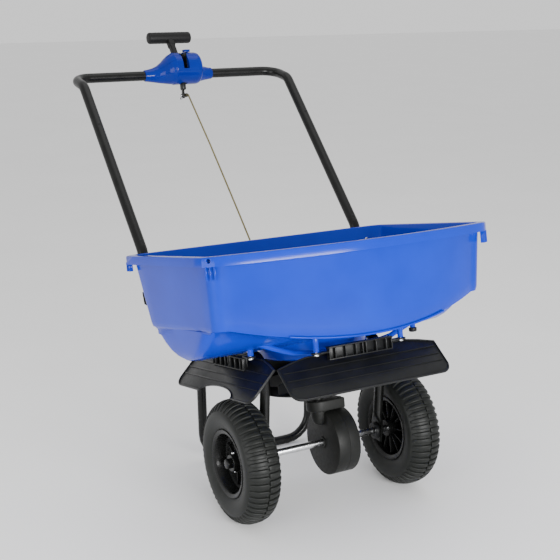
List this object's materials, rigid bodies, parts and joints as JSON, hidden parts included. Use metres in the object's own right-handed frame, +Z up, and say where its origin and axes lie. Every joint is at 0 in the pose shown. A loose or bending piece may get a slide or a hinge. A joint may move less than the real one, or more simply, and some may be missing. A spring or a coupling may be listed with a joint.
{
  "type": "walk-behind broadcast spreader",
  "caption": "Walk-behind garden spreader: plastic hopper on pneumatic wheels, U handle with lever console, control rod, gearbox-driven impeller, baffles, rear stand.",
  "frame": {"origin": "on the ground below the middle of the axle, the machine parked on its wheels and stand", "axes": "+X along the axle towards the viewer's right, +Y from the hopper towards the handle, +Z up"},
  "size_m": [0.662, 1.0131, 0.9812],
  "materials": {
    "hopper_plastic": "blue moulded plastic, satin gloss",
    "console_plastic": "blue moulded plastic",
    "black_paint": "gloss black powder coat on steel",
    "black_plastic": "matt black moulded plastic",
    "tyre_rubber": "matt rubber",
    "grip_rubber": "soft matt rubber",
    "zinc_steel": "bright zinc plate",
    "yellow_zinc": "yellow zinc plate",
    "nylon": "natural nylon"
  },
  "bodies": {
    "frame": {"console_lower": "console_plastic", "console_upper": "console_plastic", "front_baffle": "black_plastic", "front_bolt_left": "zinc_steel", "front_bolt_right": "zinc_steel", "front_bracket": "black_plastic", "gate_guide": "black_plastic", "gearbox_cover": "black_plastic", "gearbox_housing": "black_plastic", "handle": "black_paint", "hopper": "hopper_plastic", "left_axle_bush": "black_plastic", "left_baffle": "black_plastic", "left_brace": "black_paint", "left_brace_bolt": "zinc_steel", "left_bracket": "black_plastic", "left_frame_tube": "black_paint", "left_front_bolt": "zinc_steel", "left_handle_bolt": "zinc_steel", "left_handle_spacer": "black_plastic", "left_hopper_bolt": "zinc_steel", "left_lap_bolt": "zinc_steel", "left_rear_bolt": "zinc_steel", "lever_pin": "zinc_steel", "rear_shield": "black_plastic", "rear_stand": "black_paint", "right_axle_bush": "black_plastic", "right_brace": "black_paint", "right_brace_bolt": "zinc_steel", "right_frame_tube": "black_paint", "right_front_knob": "black_plastic", "right_handle_bolt": "zinc_steel", "right_handle_spacer": "black_plastic", "right_hopper_bolt": "zinc_steel", "right_lap_bolt": "zinc_steel", "right_rear_knob": "black_plastic", "shaft_bush": "nylon"},
    "drive": {"axle": "zinc_steel", "drive_pin": "zinc_steel", "right_cotter_pin": "zinc_steel", "left_wheel_rim": "black_plastic", "left_tyre": "tyre_rubber", "drive_gear": "nylon"},
    "right_wheel": {"right_wheel_rim": "black_plastic", "right_tyre": "tyre_rubber"},
    "spinner": {"impeller_shaft": "zinc_steel", "pinion": "zinc_steel", "impeller": "black_plastic", "agitator": "zinc_steel"},
    "lever": {"control_lever": "black_paint", "lever_grip": "grip_rubber"},
    "rod": {"rod_clevis": "zinc_steel", "control_rod": "yellow_zinc"},
    "gate": {"gate_plate": "zinc_steel"},
    "stop": {"rate_stop": "black_plastic"}
  },
  "joints": [
    {"name": "drive_spin", "type": "hinge", "parent": "frame", "child": "drive", "pos_m": [0, 0, 0.133], "axis": [1, 0, 0], "continuous": true},
    {"name": "right_wheel_spin", "type": "hinge", "parent": "frame", "child": "right_wheel", "pos_m": [0.198, 0, 0.133], "axis": [1, 0, 0], "continuous": true},
    {"name": "spinner_spin", "type": "hinge", "parent": "frame", "child": "spinner", "pos_m": [0, 0, 0.133], "axis": [0, 0.1943, 0.9809], "continuous": true},
    {"name": "lever_swing", "type": "hinge", "parent": "frame", "child": "lever", "pos_m": [0, 0.70367, 0.88051], "axis": [1, 0, 0], "range_deg": [0, 30]},
    {"name": "rod_pivot", "type": "hinge", "parent": "lever", "child": "rod", "pos_m": [0, 0.70102, 0.82599], "axis": [1, 0, 0], "range_deg": [-28.6, 0]},
    {"name": "gate_slide", "type": "slide", "parent": "frame", "child": "gate", "axis": [0, 0.9809, -0.1943], "range_m": [0, 0.0426]},
    {"name": "stop_slide", "type": "hinge", "parent": "frame", "child": "stop", "pos_m": [0, 0.71129, 0.89328], "axis": [1, 0, 0], "range_deg": [0, 40]}
  ],
  "couplings": [
    {"joint": "spinner_spin", "follows": "drive_spin", "ratio": -4},
    {"joint": "rod_pivot", "follows": "lever_swing", "ratio": -0.94767},
    {"joint": "gate_slide", "follows": "lever_swing", "m_per_rad": 0.08136}
  ]
}
